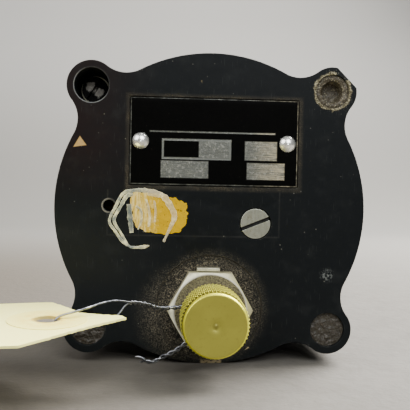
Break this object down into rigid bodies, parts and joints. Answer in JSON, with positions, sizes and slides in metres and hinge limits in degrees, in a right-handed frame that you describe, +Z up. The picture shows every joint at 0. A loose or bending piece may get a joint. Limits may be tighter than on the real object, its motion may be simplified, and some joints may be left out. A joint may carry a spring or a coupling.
{
  "type": "panel pressure gauge",
  "caption": "Panel pressure gauge in a black moulded case with screwed corner lobes, a hexagon union under a knurled dust cap, and a card tag on a twisted wire.",
  "frame": {"origin": "centre of the four panel screws on the front mounting face, on the dial axis", "axes": "+Y out of the dial towards the pilot, +Z up, +X to the right of someone looking at the back of the gauge"},
  "size_m": [0.1322, 0.1063, 0.081],
  "materials": {
    "phenolic": "moulded phenolic, worn satin",
    "insert_brass": "plain turned brass",
    "screw_steel": "zinc plated steel, aged",
    "sealing_wax": "dark red-brown sealing wax",
    "glass": "clear flat glass",
    "rubber": "black rubber",
    "spacer_black": "matt black",
    "dial_black": "matt black with pale marks",
    "pointer_paint": "ivory paint",
    "movement_brass": "lacquered brass",
    "spring_bronze": "phosphor bronze strip",
    "movement_steel": "polished steel",
    "tube_bronze": "phosphor bronze tube",
    "union_steel": "plated steel, dirty",
    "washer_steel": "plated steel sheet",
    "cap_yellow": "yellow anodised aluminium",
    "plug_metal": "aged plated metal",
    "fibre": "red-brown fibre",
    "plate_black": "black plate with bright edges and blank boxes",
    "rivet_aluminium": "bright domes",
    "label_paper": "torn yellow paper",
    "wire_steel": "twisted galvanised wire",
    "tag_card": "cream card",
    "tag_ring_paper": "pale yellow ring"
  },
  "bodies": {
    "case": {"case_body": "phenolic", "case_gasket": "rubber", "front_flange": "phenolic", "thread_inserts": "insert_brass", "case_screws": "screw_steel", "screw_washers": "screw_steel", "sealing_wax": "sealing_wax", "glass": "glass", "glass_gasket": "rubber", "spacer_ring": "spacer_black", "dial": "dial_black", "dial_screws": "movement_steel", "dial_posts": "movement_brass", "zero_stop": "movement_steel", "hairspring": "spring_bronze", "hairspring_stud": "movement_brass", "front_plate": "movement_brass", "rear_plate": "movement_brass", "pillars": "movement_brass", "movement_screws": "movement_steel", "bourdon_tube": "tube_bronze", "tube_socket": "movement_brass", "socket_gasket": "rubber", "pressure_union": "union_steel", "tab_washer": "washer_steel", "adjusting_plug": "plug_metal", "plug_washer": "fibre", "data_plate": "plate_black", "plate_rivets": "rivet_aluminium", "paper_label": "label_paper"},
    "pointer": {"pointer": "pointer_paint", "pointer_hub": "movement_brass", "centre_pinion": "movement_brass", "hairspring_collet": "movement_brass"},
    "sector": {"sector_gear": "movement_brass", "sector_arbor": "movement_steel"},
    "tube_end": {"tube_tip": "movement_brass", "tip_pin": "movement_steel"},
    "link": {"link": "movement_steel", "tail_pin": "movement_steel"},
    "cap_seal": {"cap_disc": "rubber"},
    "dust_cap": {"dust_cap": "cap_yellow"},
    "wire": {"seal_wire": "wire_steel"},
    "tag": {"card_tag": "tag_card", "tag_ring": "tag_ring_paper"}
  },
  "joints": [
    {"name": "pointer_turn", "type": "hinge", "parent": "case", "child": "pointer", "pos_m": [0, -0.007, 0], "axis": [0, -1, 0], "range_deg": [0, 270], "stiffness_Nm_per_rad": 0.0005, "deforming": ["hairspring"]},
    {"name": "sector_turn", "type": "hinge", "parent": "case", "child": "sector", "pos_m": [-0.017, -0.0195, -0.01015], "axis": [0, -1, 0], "range_deg": [-27, 0]},
    {"name": "tube_end_flex", "type": "hinge", "parent": "case", "child": "tube_end", "pos_m": [0.0056, -0.031, 0.007], "axis": [0, -1, 0], "range_deg": [-6, 0], "deforming": ["bourdon_tube"]},
    {"name": "link_turn", "type": "hinge", "parent": "tube_end", "child": "link", "pos_m": [-0.02342, -0.0206, -0.00169], "axis": [0, -1, 0], "range_deg": [0, 10.5]},
    {"name": "cap_travel", "type": "slide", "parent": "case", "child": "cap_seal", "axis": [0, -1, 0], "range_m": [0, 0.01201]},
    {"name": "cap_unscrew", "type": "hinge", "parent": "cap_seal", "child": "dust_cap", "pos_m": [0, -0.0628, -0.0259], "axis": [0, -1, 0], "range_deg": [0, 2880]},
    {"name": "wire_round_neck", "type": "hinge", "parent": "case", "child": "wire", "pos_m": [0, -0.0524, -0.0259], "axis": [0, -1, 0], "range_deg": [-20, 8]},
    {"name": "tag_swivel", "type": "hinge", "parent": "wire", "child": "tag", "pos_m": [-0.0367, -0.0768, -0.0236], "axis": [0.0082, -0.0517, 0.9986], "range_deg": [-45, 45]}
  ],
  "couplings": [
    {"joint": "sector_turn", "follows": "pointer_turn", "ratio": -0.1},
    {"joint": "tube_end_flex", "follows": "pointer_turn", "ratio": -0.022185},
    {"joint": "link_turn", "follows": "pointer_turn", "ratio": 0.0385},
    {"joint": "cap_travel", "follows": "cap_unscrew", "m_per_rad": 0.00023873}
  ]
}
